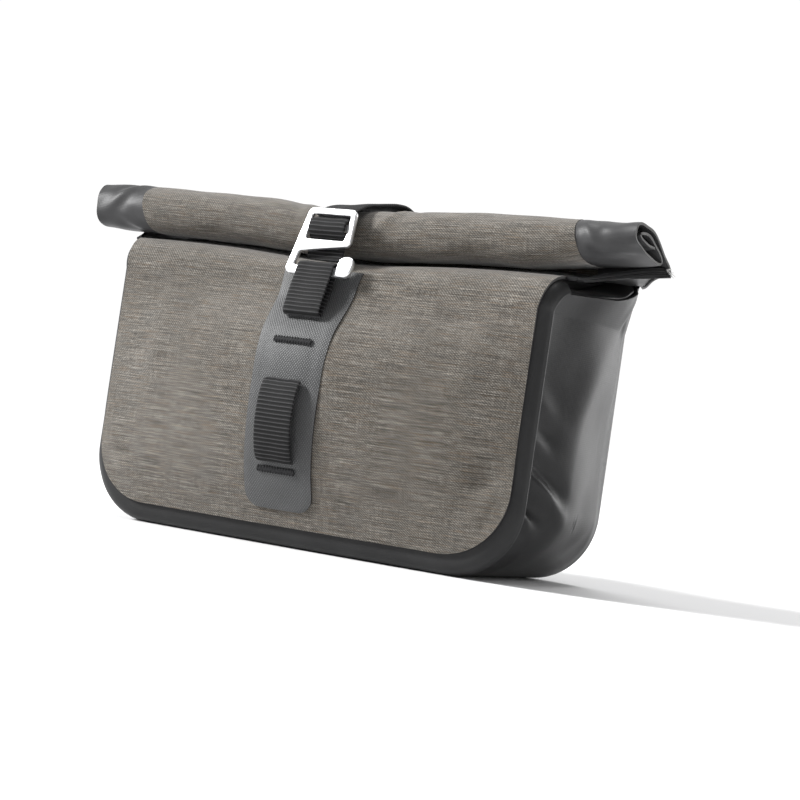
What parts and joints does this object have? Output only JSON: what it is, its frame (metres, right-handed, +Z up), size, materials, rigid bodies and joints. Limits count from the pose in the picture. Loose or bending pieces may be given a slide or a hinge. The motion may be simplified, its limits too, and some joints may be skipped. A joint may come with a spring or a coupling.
{
  "type": "handlebar bag",
  "caption": "Soft roll-top handlebar bag with a heather front, coated sides, a webbing strap with a metal hook and loops for the handlebar.",
  "frame": {"origin": "on the ground, under the middle of the whole bag", "axes": "+X across the width, -Y towards the front panel, +Z up from the flat bottom to the roll"},
  "size_m": [0.306, 0.167, 0.1769],
  "materials": {
    "heather_cloth": "matte woven",
    "coated_cloth": "satin coating",
    "grey_patch": "fine twill emboss",
    "black_webbing": "ribbed weave",
    "black_thread": "matte stitches",
    "bright_metal": "bright tumbled"
  },
  "bodies": {
    "root": {"front_panel": "heather_cloth", "back_panel": "coated_cloth", "gusset": "coated_cloth", "corner_fold_right": "coated_cloth", "corner_fold_left": "coated_cloth", "roll_top": "heather_cloth", "roll_end_right": "coated_cloth", "roll_end_left": "coated_cloth", "front_patch": "grey_patch", "front_loop": "black_webbing", "bar_tack_upper": "black_thread", "bar_tack_lower": "black_thread", "g_hook": "bright_metal", "hook_loop": "black_webbing", "closure_strap": "black_webbing", "handlebar_loop_left": "black_webbing", "handlebar_loop_right": "black_webbing"}
  },
  "joints": []
}
